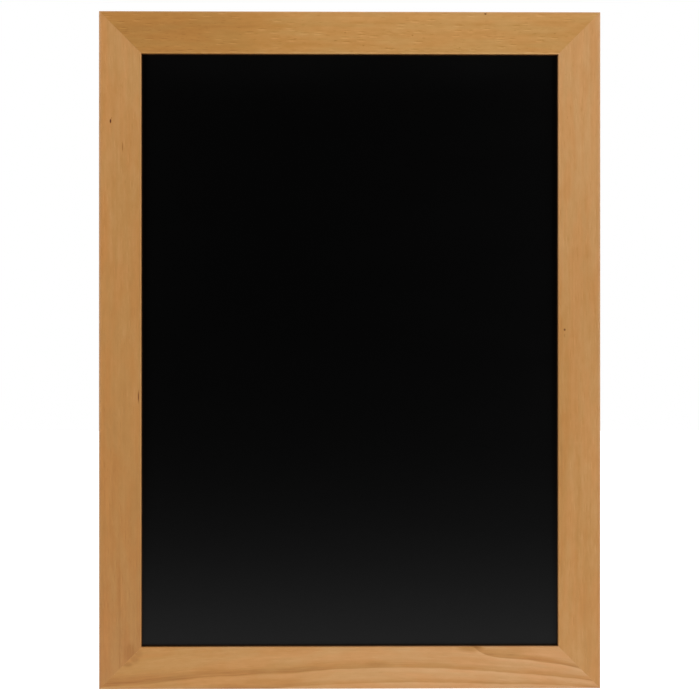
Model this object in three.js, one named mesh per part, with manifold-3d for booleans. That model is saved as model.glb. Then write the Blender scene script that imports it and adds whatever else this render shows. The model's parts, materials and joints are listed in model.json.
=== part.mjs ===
// A wall chalkboard: a mitred, rebated hardwood frame round a black writing sheet on a hardboard panel.
// Millimetres. +X to the right and +Z up as seen from the front, and +Y towards the wall.
// The origin is on the frame's back plane, in the middle of the top rail's flat back.

import * as THREE from "three";
import { mergeVertices } from "three/addons/utils/BufferGeometryUtils.js";
import Module from "manifold-3d";

const wasm = await Module();
wasm.setup();

// Writing area that shows inside the frame
const visibleWidth = 417;
const visibleHeight = 593;

// Section of the wooden rails
const railWidth = 42.5;
const frameDepth = 18;
const lipDepth = 8; // wood in front of the panel
const lapWidth = 7; // how far a rail reaches over the panel's edge
const outerArris = 2.5;
const innerArris = 1.5;
const backArris = 0.8;
const glueLine = 0.1; // between the two faces of a mitre

// Writing sheet and the panel behind it
const sheetThickness = 0.8;
const panelThickness = 3;
const panelSideClearance = 1; // from a panel's edge to the rebate's wall

// Bent steel wedges across the mitres
const nailThickness = 0.6;
const nailLeg = 8;
const nailHeight = 10;
const nailSink = 0.3; // below the frame's back
const nailCover = 9; // wood from a wedge's bend to the rail's edge or rebate
const drivenFit = 0.1; // round a wedge or a point in its slot

// Flat steel points that keep the panel in
const pointWidth = 5.5;
const pointThickness = 0.6;
const pointBite = 9; // length in the wood
const pointReach = 7; // length over the panel
const pointTaper = 3.5; // length of the sharpened end
const stilePointPitch = 200;
const stilePointCount = 3;
const railPointPitch = 240;
const railPointCount = 2;

// Wire rings
const wireDiameter = 2.4;
const ringInnerHeight = 13;
const ringSideRoom = 1.5; // from the strap's edge to the ring's inside
const ringRestGap = 0.3; // between the hanging ring and its strap
const wireEndGap = 0.6; // between the wire's two ends, hidden in the strap's eye

// Folded steel straps that carry the rings
const strapWidth = 12;
const strapThickness = 0.8;
const strapFoldGap = 0.1; // between the strap's two leaves
const eyeClearance = 0.3; // round the wire in the strap's eye
const neckAngle = 55; // degrees, where the upper leaf leaves the eye
const neckRadius = 1.6; // centre of the upper leaf, where it comes down on the lower one
const pivotDrop = 120; // from the frame's top edge to the eye's axis
const screwPitch = 15;
const screwRoom = 1; // from the hanging ring to the first screw's head

// Pan-head screws with a cross recess
const screwHeadDiameter = 7;
const screwHeadHeight = 2.3;
const screwHeadEdgeRadius = 1.7;
const screwShankDiameter = 3;
const screwLength = 12;
const screwTipLength = 4;
const recessSpan = 4;
const recessWidth = 0.9;
const recessDepth = 1.3;
const pilotFit = 0.15; // round a screw in its pilot hole
const strapHoleFit = 0.5; // round a screw in its strap

// Rubber feet behind the bottom rail
const bumperDiameter = 12;
const bumperHeight = 4;
const bumperEdgeRadius = 1.5;
const bumperInset = 60; // from the frame's side to the foot's centre

// How far a cut starts outside the face that it goes through
const cutPast = 1;

// Worked out from the sizes above
const outerWidth = visibleWidth + 2 * railWidth;
const outerHeight = visibleHeight + 2 * railWidth;
const rebateWall = railWidth - lapWidth; // from a rail's outer edge
const backCentre = rebateWall / 2; // middle of a rail's flat back
const rebateDepth = frameDepth - lipDepth;
const boardCentreZ = backCentre - outerHeight / 2;
const panelWidth = outerWidth - 2 * (rebateWall + panelSideClearance);
const panelHeight = outerHeight - 2 * (rebateWall + panelSideClearance);
const sheetBack = -(rebateDepth - sheetThickness);
const panelBack = sheetBack + panelThickness;
const wireRadius = wireDiameter / 2;
const eyeRadius = wireRadius + eyeClearance;
const eyeOuterRadius = eyeRadius + strapThickness;
const strapStack = 2 * strapThickness + strapFoldGap;
const ringHalfWidth = strapWidth / 2 + ringSideRoom + wireRadius;
const ringCornerRadius = ringSideRoom + wireRadius - eyeClearance;
const ringHeight = ringInnerHeight + wireDiameter;
const ringFoot = ringHeight - ringHalfWidth;
const ringReach = ringHeight + wireRadius;
const ringOverStrap = ringFoot + Math.sqrt(ringHalfWidth ** 2 - (strapWidth / 2) ** 2) - wireRadius;
const ringRestTilt = Math.asin((strapStack + ringRestGap + wireRadius - eyeOuterRadius) / ringOverStrap);
const firstScrewDrop = ringReach + screwRoom + screwHeadDiameter / 2;
const strapDrop = firstScrewDrop + screwPitch + strapWidth / 2;
const pivotX = outerWidth / 2 - backCentre;
const pivotZ = backCentre - pivotDrop;
const screwDrops = { upper: firstScrewDrop, lower: firstScrewDrop + screwPitch };
const wedgePlaces = { outer: nailCover, inner: rebateWall - nailCover };

const beech = () => new THREE.MeshStandardMaterial({ color: 0xbc8a50, roughness: 0.45, metalness: 0 });
const blackLaminate = new THREE.MeshStandardMaterial({ color: 0x0b0b0b, roughness: 0.6, metalness: 0 });
const hardboard = new THREE.MeshStandardMaterial({ color: 0x6e4d33, roughness: 0.85, metalness: 0 });
const springSteel = new THREE.MeshStandardMaterial({ color: 0x8f9499, roughness: 0.4, metalness: 1 });
const zincPlate = new THREE.MeshStandardMaterial({ color: 0xb9bcc0, roughness: 0.35, metalness: 1 });
const rubber = new THREE.MeshStandardMaterial({ color: 0x1c1c1c, roughness: 0.8, metalness: 0 });

const radians = THREE.MathUtils.degToRad;
const chalkboard = new THREE.Group();

// A closed geometry as a solid that can be cut.
function solidOf(geometry) {
  const corners = geometry.index ? geometry.toNonIndexed() : geometry.clone();
  corners.deleteAttribute("normal");
  corners.deleteAttribute("uv");
  const merged = mergeVertices(corners, 1e-4);
  const vertProperties = new Float32Array(merged.attributes.position.array);
  const triVerts = new Uint32Array(merged.index.array);
  return new wasm.Manifold(new wasm.Mesh({ numProp: 3, vertProperties, triVerts }));
}

// A cut solid as a flat-shaded geometry.
function geometryOf(solid) {
  const cutMesh = solid.getMesh();
  const indexed = new THREE.BufferGeometry();
  indexed.setAttribute("position", new THREE.BufferAttribute(cutMesh.vertProperties, 3));
  indexed.setIndex(new THREE.BufferAttribute(cutMesh.triVerts, 1));
  const geometry = indexed.toNonIndexed();
  geometry.computeVertexNormals();
  return geometry;
}

function subtractAll(geometry, cutters) {
  const left = cutters.reduce((solid, cutter) => solid.subtract(solidOf(cutter)), solidOf(geometry));
  return geometryOf(left);
}

// A plate drawn in X and Z as seen from the front, whose back lies at y = 0.
function plate(shape, thickness, curveSegments = 8) {
  const geometry = new THREE.ExtrudeGeometry(shape, { depth: thickness, bevelEnabled: false, curveSegments });
  return geometry.rotateX(Math.PI / 2);
}

function rectangle(width, height) {
  const shape = new THREE.Shape();
  shape.moveTo(-width / 2, -height / 2);
  shape.lineTo(width / 2, -height / 2);
  shape.lineTo(width / 2, height / 2);
  shape.lineTo(-width / 2, height / 2);
  return shape;
}

function part(name, geometry, material) {
  const mesh = new THREE.Mesh(geometry, material);
  mesh.name = name;
  return mesh;
}

// Section of a rail: x runs in from the outer edge, y runs forward from the back.
function railSection() {
  const section = new THREE.Shape();
  section.moveTo(backArris, 0);
  section.lineTo(rebateWall, 0);
  section.lineTo(rebateWall, rebateDepth);
  section.lineTo(railWidth, rebateDepth);
  section.absarc(railWidth - innerArris, frameDepth - innerArris, innerArris, 0, Math.PI / 2);
  section.absarc(outerArris, frameDepth - outerArris, outerArris, Math.PI / 2, Math.PI);
  section.absarc(backArris, backArris, backArris, Math.PI, 1.5 * Math.PI);
  return section;
}

// A rail along X with its outer edge at z = 0 and its back at y = 0, both ends cut to the mitre.
function mitredRail(length) {
  const sweep = { depth: length, bevelEnabled: false, curveSegments: 5 };
  const geometry = new THREE.ExtrudeGeometry(railSection(), sweep);
  const alongX = new THREE.Matrix4().makeBasis(
    new THREE.Vector3(0, 0, 1),
    new THREE.Vector3(0, -1, 0),
    new THREE.Vector3(1, 0, 0),
  );
  geometry.translate(0, 0, -length / 2).applyMatrix4(alongX);
  const corner = geometry.getAttribute("position");
  for (let i = 0; i < corner.count; i++) {
    const mitreEnd = length / 2 - corner.getZ(i) - glueLine / Math.SQRT2;
    corner.setX(i, Math.sign(corner.getX(i)) * mitreEnd);
  }
  return geometry;
}

// Plan of a steel wedge bent to a right angle, from the frame's corner, grown by a clearance.
function wedgePlan(apex, clearance) {
  const near = apex - nailThickness / 2 - clearance;
  const far = apex + nailThickness / 2 + clearance;
  const end = apex + nailLeg + clearance;
  const plan = new THREE.Shape();
  plan.moveTo(end, near);
  plan.lineTo(end, far);
  plan.lineTo(far, far);
  plan.lineTo(far, end);
  plan.lineTo(near, end);
  plan.absarc(near + nailThickness, near + nailThickness, nailThickness, Math.PI, 1.5 * Math.PI);
  return plan;
}

function wedge(apex) {
  return plate(wedgePlan(apex, 0), nailHeight).translate(0, -nailSink, 0);
}

// The wedge's slot, open at the frame's back.
function wedgeSlot(apex) {
  const depth = nailSink + nailHeight + drivenFit;
  return plate(wedgePlan(apex, drivenFit), depth + cutPast).translate(0, cutPast, 0);
}

// A flat steel point: its sharp end is in the rebate's wall and the rest lies on the panel's back.
function panelPoint(clearance) {
  const half = pointWidth / 2 + clearance;
  const tip = rebateWall - pointBite - clearance;
  const tail = rebateWall + pointReach;
  const outline = new THREE.Shape();
  outline.moveTo(0, tip);
  outline.lineTo(half, tip + pointTaper);
  outline.lineTo(half, tail);
  outline.lineTo(-half, tail);
  outline.lineTo(-half, tip + pointTaper);
  const back = panelBack + pointThickness + clearance;
  return plate(outline, pointThickness + 2 * clearance).translate(0, back, 0);
}

// Places along a rail for a row of points, centred on it.
function pointPlaces(count, pitch) {
  return Array.from({ length: count }, (_, i) => (i - (count - 1) / 2) * pitch);
}

// A round hole into a back face at y = 0, drilled along Y round a screw's shank.
function screwHole(fit, depth) {
  const radius = screwShankDiameter / 2 + fit;
  const hole = new THREE.CylinderGeometry(radius, radius, depth + cutPast, 20);
  return hole.translate(0, (cutPast - depth) / 2, 0);
}

function railSolid(length, points, pilots) {
  const cutters = [];
  for (const apex of Object.values(wedgePlaces)) {
    cutters.push(wedgeSlot(apex).translate(-length / 2, 0, 0));
    cutters.push(wedgeSlot(apex).rotateY(-Math.PI / 2).translate(length / 2, 0, 0));
  }
  points.forEach((along) => cutters.push(panelPoint(drivenFit).translate(along, 0, 0)));
  const pilotDepth = screwLength - strapStack + pilotFit;
  pilots.forEach((along) => cutters.push(screwHole(pilotFit, pilotDepth).translate(along, 0, backCentre)));
  return subtractAll(mitredRail(length), cutters);
}

// The steel strip folded round the eye, as a path of the strip's middle in x (up) and y (out from the wood).
function strapPath() {
  const centreRadius = eyeRadius + strapThickness / 2;
  const lean = radians(neckAngle);
  const lowerLeaf = strapThickness / 2;
  const upperLeaf = lowerLeaf + strapThickness + strapFoldGap;
  const leaveX = -centreRadius * Math.sin(lean);
  const leaveY = eyeOuterRadius + centreRadius * Math.cos(lean);
  const bendDrop = neckRadius * (1 - Math.cos(lean));
  const straight = (leaveY - upperLeaf - bendDrop) / Math.sin(lean);
  const bendX = leaveX - straight * Math.cos(lean) - neckRadius * Math.sin(lean);
  const path = new THREE.Path();
  path.moveTo(-strapDrop, lowerLeaf);
  path.lineTo(0, lowerLeaf);
  path.absarc(0, eyeOuterRadius, centreRadius, -Math.PI / 2, Math.PI / 2 + lean);
  path.absarc(bendX, upperLeaf + neckRadius, neckRadius, lean - Math.PI / 2, -Math.PI / 2, true);
  path.lineTo(-strapDrop, upperLeaf);
  return path;
}

// Both sides of a bent strip, half its thickness from its middle path.
function stripOutline(path, thickness) {
  const middle = path.getPoints(10).filter((p, i, all) => i === 0 || p.distanceTo(all[i - 1]) > 1e-6);
  const side = (sign) =>
    middle.map((p, i) => {
      const before = middle[Math.max(i - 1, 0)];
      const after = middle[Math.min(i + 1, middle.length - 1)];
      const into = p.clone().sub(before).normalize();
      const out = after.clone().sub(p).normalize();
      const along = into.add(out).normalize();
      const offset = (sign * thickness) / 2;
      return new THREE.Vector2(p.x - along.y * offset, p.y + along.x * offset);
    });
  return new THREE.Shape([...side(-1), ...side(1).reverse()]);
}

// Plan of a strap below the eye's axis: straight sides and a round end.
function strapPlan() {
  const half = strapWidth / 2;
  const top = eyeOuterRadius + cutPast;
  const plan = new THREE.Shape();
  plan.moveTo(half, top);
  plan.lineTo(-half, top);
  plan.lineTo(-half, half - strapDrop);
  plan.absarc(0, half - strapDrop, half, Math.PI, 2 * Math.PI);
  return plan;
}

// A strap that hangs down from its eye, whose axis lies along X at the origin. Its back lies on the wood.
function strap() {
  const outline = stripOutline(strapPath(), strapThickness);
  const folded = new THREE.ExtrudeGeometry(outline, { depth: strapWidth, bevelEnabled: false });
  folded.translate(0, 0, -strapWidth / 2).rotateY(-Math.PI / 2);
  const height = 2 * eyeOuterRadius + cutPast;
  const rounded = plate(strapPlan(), height + cutPast, 12).translate(0, height, 0);
  const blank = solidOf(folded).intersect(solidOf(rounded));
  const holes = Object.values(screwDrops).map((drop) =>
    screwHole(strapHoleFit, strapStack + cutPast).translate(0, strapStack, -drop),
  );
  return subtractAll(geometryOf(blank), holes).translate(0, -eyeOuterRadius, 0);
}

// The ring's wire, from one end in the eye round to the other, in the plane y = 0.
class RingWire extends THREE.Curve {
  constructor() {
    super();
    const corner = ringHalfWidth - ringCornerRadius;
    this.outline = new THREE.Path();
    this.outline.moveTo(wireEndGap / 2, 0);
    this.outline.lineTo(corner, 0);
    this.outline.absarc(corner, -ringCornerRadius, ringCornerRadius, Math.PI / 2, 0, true);
    this.outline.absarc(0, -ringFoot, ringHalfWidth, 0, -Math.PI, true);
    this.outline.absarc(-corner, -ringCornerRadius, ringCornerRadius, Math.PI, Math.PI / 2, true);
    this.outline.lineTo(-wireEndGap / 2, 0);
  }
  getPoint(t) {
    const p = this.outline.getPoint(t);
    return new THREE.Vector3(p.x, 0, p.y);
  }
}

function dRing() {
  const section = new THREE.Shape();
  section.absarc(0, 0, wireRadius, 0, 2 * Math.PI);
  return new THREE.ExtrudeGeometry(section, { steps: 60, curveSegments: 5, extrudePath: new RingWire() });
}

// A screw that stands out to +Y, with its head's underside at y = 0.
function panHeadScrew() {
  const head = screwHeadDiameter / 2;
  const shank = screwShankDiameter / 2;
  const edge = screwHeadEdgeRadius;
  const profile = new THREE.Path();
  profile.moveTo(0, -screwLength);
  profile.lineTo(shank, screwTipLength - screwLength);
  profile.lineTo(shank, 0);
  profile.lineTo(head, 0);
  profile.absarc(head - edge, screwHeadHeight - edge, edge, 0, Math.PI / 2);
  profile.lineTo(0, screwHeadHeight);
  const slot = (width, span) => {
    const height = recessDepth + cutPast;
    const box = new THREE.BoxGeometry(width, height, span);
    return box.translate(0, screwHeadHeight - recessDepth + height / 2, 0);
  };
  const turned = new THREE.LatheGeometry(profile.getPoints(5), 24);
  return subtractAll(turned, [slot(recessWidth, recessSpan), slot(recessSpan, recessWidth)]);
}

// A rubber foot with its flat base at y = 0.
function bumper() {
  const radius = bumperDiameter / 2;
  const edge = bumperEdgeRadius;
  const profile = new THREE.Path();
  profile.moveTo(0, 0);
  profile.lineTo(radius, 0);
  profile.absarc(radius - edge, bumperHeight - edge, edge, 0, Math.PI / 2);
  profile.lineTo(0, bumperHeight);
  return new THREE.LatheGeometry(profile.getPoints(5), 28);
}

// A group whose X and Z axes run along and in from one side of the frame.
function frameSide(turn, halfSpan) {
  const turned = new THREE.Group();
  turned.position.z = boardCentreZ;
  turned.rotation.y = radians(turn);
  const side = new THREE.Group();
  side.position.z = -halfSpan;
  turned.add(side);
  chalkboard.add(turned);
  return side;
}

function addRails() {
  const pilotPlaces = Object.values(screwDrops).map((drop) => outerHeight / 2 - pivotDrop - drop);
  const railPoints = pointPlaces(railPointCount, railPointPitch);
  const stilePoints = pointPlaces(stilePointCount, stilePointPitch);
  const across = { length: outerWidth, halfSpan: outerHeight / 2, points: railPoints, pilots: [] };
  const upright = { length: outerHeight, halfSpan: outerWidth / 2, points: stilePoints };
  const sides = [
    { name: "bottom_rail", turn: 0, ...across },
    { name: "left_stile", turn: 90, ...upright, pilots: pilotPlaces.map((z) => -z) },
    { name: "top_rail", turn: 180, ...across },
    { name: "right_stile", turn: 270, ...upright, pilots: pilotPlaces },
  ];
  for (const { name, turn, length, halfSpan, points, pilots } of sides) {
    const side = frameSide(turn, halfSpan);
    side.add(part(name, railSolid(length, points, pilots), beech()));
    points.forEach((along, i) => {
      const point = part("panel_point_" + name + "_" + (i + 1), panelPoint(0), springSteel);
      point.position.x = along;
      side.add(point);
    });
  }
}

function addWedges() {
  const corners = [
    { name: "bottom_left", turn: 0, right: -1, up: -1 },
    { name: "top_left", turn: 90, right: -1, up: 1 },
    { name: "top_right", turn: 180, right: 1, up: 1 },
    { name: "bottom_right", turn: 270, right: 1, up: -1 },
  ];
  for (const { name, turn, right, up } of corners) {
    const corner = new THREE.Group();
    corner.position.set((right * outerWidth) / 2, 0, boardCentreZ + (up * outerHeight) / 2);
    corner.rotation.y = radians(turn);
    for (const [place, apex] of Object.entries(wedgePlaces)) {
      corner.add(part("v_nail_" + name + "_" + place, wedge(apex), springSteel));
    }
    chalkboard.add(corner);
  }
}

function addPanel() {
  const outline = rectangle(panelWidth, panelHeight);
  const sheet = part("writing_sheet", plate(outline, sheetThickness), blackLaminate);
  sheet.position.set(0, sheetBack, boardCentreZ);
  const panel = part("backing_panel", plate(outline, panelThickness), hardboard);
  panel.position.set(0, panelBack, boardCentreZ);
  chalkboard.add(sheet, panel);
}

function addHangers() {
  for (const [side, right] of Object.entries({ left: -1, right: 1 })) {
    const hanger = new THREE.Group();
    hanger.position.set(right * pivotX, eyeOuterRadius, pivotZ);
    hanger.add(part("hanger_strap_" + side, strap(), zincPlate));
    const ring = part("d_ring_" + side, dRing(), zincPlate);
    ring.rotation.x = ringRestTilt;
    hanger.add(ring);
    for (const [place, drop] of Object.entries(screwDrops)) {
      const screw = part("hanger_screw_" + side + "_" + place, panHeadScrew(), zincPlate);
      screw.position.set(0, strapStack - eyeOuterRadius, -drop);
      hanger.add(screw);
    }
    chalkboard.add(hanger);
  }
}

function addBumpers() {
  for (const [side, right] of Object.entries({ left: -1, right: 1 })) {
    const foot = part("bumper_" + side, bumper(), rubber);
    foot.position.set(right * (outerWidth / 2 - bumperInset), 0, boardCentreZ - outerHeight / 2 + backCentre);
    chalkboard.add(foot);
  }
}

addRails();
addWedges();
addPanel();
addHangers();
addBumpers();

export default chalkboard;
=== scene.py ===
import json
import math

import bmesh
import bpy
from mathutils import Matrix, Vector


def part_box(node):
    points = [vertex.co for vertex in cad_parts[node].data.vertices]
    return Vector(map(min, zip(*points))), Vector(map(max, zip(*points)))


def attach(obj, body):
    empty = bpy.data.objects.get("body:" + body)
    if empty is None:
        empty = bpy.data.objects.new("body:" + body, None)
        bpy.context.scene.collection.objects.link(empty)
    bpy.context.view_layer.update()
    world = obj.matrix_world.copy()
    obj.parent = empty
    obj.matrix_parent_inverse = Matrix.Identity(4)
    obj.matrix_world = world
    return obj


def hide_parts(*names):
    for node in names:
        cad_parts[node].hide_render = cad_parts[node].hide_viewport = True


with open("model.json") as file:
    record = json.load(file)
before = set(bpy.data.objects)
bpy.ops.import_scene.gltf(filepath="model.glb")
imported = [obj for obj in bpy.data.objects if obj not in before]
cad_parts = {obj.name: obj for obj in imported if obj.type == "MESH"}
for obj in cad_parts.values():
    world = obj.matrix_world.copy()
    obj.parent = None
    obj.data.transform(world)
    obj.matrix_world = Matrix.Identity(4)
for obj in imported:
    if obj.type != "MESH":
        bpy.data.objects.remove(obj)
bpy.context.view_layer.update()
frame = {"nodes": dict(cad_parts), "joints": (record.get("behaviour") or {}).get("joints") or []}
nodes = frame["nodes"]
pivots = {joint["child"]: Vector(joint["pos_m"]) for joint in frame["joints"]}
print("packed model loaded:", len(nodes), "nodes")

mm = 0.001

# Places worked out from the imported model
leftEdge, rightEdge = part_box("left_stile")[0].x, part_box("right_stile")[1].x
bottomEdge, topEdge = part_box("bottom_rail")[0].z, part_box("top_rail")[1].z
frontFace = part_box("top_rail")[0].y
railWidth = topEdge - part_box("top_rail")[0].z
boardCentre = Vector(((leftEdge + rightEdge) / 2, frontFace, (bottomEdge + topEdge) / 2))
halfWidth = (rightEdge - leftEdge) / 2
halfHeight = (topEdge - bottomEdge) / 2


# Colours are written as they look on screen, 0 to 255

def paint(red, green, blue):
    def toLight(level):
        share = level / 255
        return share / 12.92 if share <= 0.04045 else ((share + 0.055) / 1.055) ** 2.4
    return (toLight(red), toLight(green), toLight(blue), 1.0)


def grey(light):
    return (light, light, light, 1.0)


# Node helpers: a value may be a number, a colour or another node's output

def addNode(tree, kind, values, **settings):
    node = tree.nodes.new(kind)
    for name, setting in settings.items():
        setattr(node, name, setting)
    for socket, value in values.items():
        if isinstance(value, bpy.types.NodeSocket):
            tree.links.new(value, node.inputs[socket])
        else:
            node.inputs[socket].default_value = value
    return node


def maths(tree, operation, first, second=0.0, third=0.0):
    return addNode(tree, "ShaderNodeMath", {0: first, 1: second, 2: third}, operation=operation).outputs[0]


def times(tree, first, second):
    return maths(tree, "MULTIPLY", first, second)


def total(tree, parts):
    result = parts[0]
    for part in parts[1:]:
        result = maths(tree, "ADD", result, part)
    return result


def largest(tree, parts):
    result = parts[0]
    for part in parts[1:]:
        result = maths(tree, "MAXIMUM", result, part)
    return result


# Takes a value from one range to another with a soft start and end
def ease(tree, value, start, end, low=0.0, high=1.0):
    values = {"Value": value, "From Min": start, "From Max": end, "To Min": low, "To Max": high}
    return addNode(tree, "ShaderNodeMapRange", values, interpolation_type="SMOOTHSTEP").outputs[0]


# Turns a noise between 0 and 1 into a change of plus or minus half the amount
def sway(tree, value, amount):
    return maths(tree, "MULTIPLY_ADD", value, amount, -amount / 2)


def mixColour(tree, share, under, over, blend="MIX"):
    mix = addNode(tree, "ShaderNodeMix", {0: share, 6: under, 7: over}, data_type="RGBA", blend_type=blend)
    return mix.outputs[2]


def stretched(tree, vector, sizes, offset=(0, 0, 0)):
    scale = tuple(1 / size for size in sizes)
    return addNode(tree, "ShaderNodeMapping", {"Vector": vector, "Location": offset, "Scale": scale}).outputs[0]


def noise(tree, vector, scale=1.0, detail=2.0, roughness=0.5):
    values = {"Vector": vector, "Scale": scale, "Detail": detail, "Roughness": roughness}
    return addNode(tree, "ShaderNodeTexNoise", values).outputs[0]


# Pushes places about by a coloured noise
def jostled(tree, vector, sizes, reach, offset=(0, 0, 0), detail=2.0):
    values = {"Vector": stretched(tree, vector, sizes, offset), "Detail": detail}
    push = addNode(tree, "ShaderNodeTexNoise", values).outputs[1]
    return addNode(tree, "ShaderNodeVectorMath", {0: push, 1: reach, 2: vector}, operation="MULTIPLY_ADD").outputs[0]


# Short dashes, one in each cell that is picked, as a share from 0 to 1. The last half of them are faint.
def dashes(tree, vector, cell, picked, radius, offset=(0, 0, 0)):
    cells = addNode(tree, "ShaderNodeTexVoronoi", {"Vector": stretched(tree, vector, cell, offset), "Scale": 1.0})
    red = addNode(tree, "ShaderNodeSeparateColor", {"Color": cells.outputs["Color"]}).outputs[0]
    core, boldest = radius * 0.35, 1 - picked * 0.5
    here = ease(tree, cells.outputs["Distance"], radius, core)
    return times(tree, here, ease(tree, red, 1 - picked, boldest))


def curve(tree, value, points):
    node = addNode(tree, "ShaderNodeFloatCurve", {"Value": value})
    node.mapping.use_clip = False
    line = node.mapping.curves[0].points
    line[0].location, line[-1].location = points[0], points[-1]
    for point in points[1:-1]:
        line.new(*point)
    node.mapping.update()
    return node.outputs[0]


def bump(tree, height, depth):
    return addNode(tree, "ShaderNodeBump", {"Height": height, "Distance": depth, "Strength": 1.0}).outputs[0]


def newMaterial(name, settings):
    material = bpy.data.materials.new(name)
    material.use_nodes = True
    tree = material.node_tree
    shader = tree.nodes["Principled BSDF"]
    for socket, value in settings.items():
        shader.inputs[socket].default_value = value
    place = tree.nodes.new("ShaderNodeTexCoord").outputs["Object"]
    return material, tree, shader, place


def wire(tree, shader, links):
    for socket, output in links.items():
        tree.links.new(output, shader.inputs[socket])


# Beech rails. Tones run from 0, the darkest heartwood, to 1, the palest sapwood.
# Places on a rail are in millimetres from the board's centre: along the rail, then across it.
beech = {
    "dark": paint(162, 106, 46),
    "middle": paint(191, 137, 76),
    "pale": paint(217, 167, 116),
    "raw": paint(205, 168, 126),
    "rawDark": paint(182, 141, 98),
    "mark": paint(84, 24, 0),  # a mark is darker than any wood
    "edgeTint": paint(252, 250, 250),
    "warmTint": paint(255, 249, 240),
    "coolTint": paint(253, 255, 254),
    # painted shade for the crease where the lip's wall meets the sheet
    "creaseTint": paint(120, 84, 48),
    "stripTint": (1.05, 1.0, 0.95, 1),
    "varnishRoughness": 0.4,
    "rawRoughness": 0.68,
    "coat": 0.12,
    "coatRoughness": 0.28,
    "specular": 0.4,
    "glossSways": (0.10, 0.06),  # with the clouds and with the fibre
    "reliefDepth": 0.035 * mm,
    "rawRelief": 1.6,  # more than the varnished wood's
    "cloudSize": (24, 14, 9),  # millimetres
    "hueSize": (48, 14, 9),
    "hueSpread": (0.35, 0.65),
    "warmPatches": (0.3, 0.6),
    "fullMark": (0.35, 0.8, 0, 0.95),  # depths between which a mark turns from a shade to the mark's colour
    "creaseDirt": 0.85,
    "filmEnd": (1.3, 2.5, 0.45, 1.0),  # millimetres in from the edge, and how bare the back is at each
}

# Noises in the wood: form size in millimetres (along the grain, up, across it), detail and roughness
woodNoises = {
    "broad": ((230, 16, 8), 1.5, 0.5),
    "rings": ((85, 4, 1.5), 2.0, 0.5),
    "fibre": ((9, 0.5, 0.3), 4.0, 0.65),
    "figure": ((13, 5, 3.4), 2.5, 0.6),
}

# Dashes in the wood: cell size in millimetres, the share of cells that hold one, and its radius in cells
woodDashes = {
    "rays": ((14, 2.4, 2.4), 0.45, 0.42),
    "paleRays": ((14, 2.4, 2.4), 0.45, 0.46),
    "shortRays": ((8, 4, 1.6), 0.4, 0.34),
    "pores": ((2.6, 0.6, 0.42), 0.6, 0.3),
}

# How far the grain, the marks and the patches of painted shade wander: form size, then reach, in millimetres
wander = {
    "slow": ((140, 60, 90), 5.0),
    "quick": ((26, 20, 18), 3.4),  # times the rail's figure
    "rays": ((7, 3, 2), (2.4, 0.0, 1.1)),
    "marks": ((2.2, 2.2, 1.4), (0.9, 0.0, 0.6)),
    "filmEnd": ((6, 4, 4), 2.4),
}

# How far noises and dashes move the varnished wood's tone, the bare wood's, and its relief
toneMoves = {
    "broad": 0.26, "rings": 0.16, "fibre": 0.12, "cloud": 0.16,
    "rays": -0.15, "paleRays": 0.15, "shortRays": -0.14, "pores": -0.10,
}
rawMoves = {"broad": 0.7, "rings": 0.6, "fibre": 0.9, "figure": 0.4, "pores": -0.5, "rays": -0.3}
reliefMoves = {"fibre": 0.5, "pores": -0.7, "rings": 0.3, "surface": 0.5}

# Zones across a rail, in millimetres in from its outer edge: where each starts, and where it is full
zones = {
    "thickVarnish": (6.0, 1.5),
    "paleEdge": (13.0, 4.0),
    "warmInner": (13.0, 6.0),
    "warmOuter": (1.0, 3.5),
    "lip": (railWidth / mm - 1.8, railWidth / mm - 0.9),
    "crease": (railWidth / mm - 0.6, railWidth / mm - 0.1),
    "rebate": (34.5, 35.2),
}

# The same for heights, in millimetres in front of the frame's back
levels = {
    "back": (0.5, 0.2),
    "rebate": (10.2, 9.7),
    "crease": (-frontFace / mm - 2.2, -frontFace / mm - 4.2),
}

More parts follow.
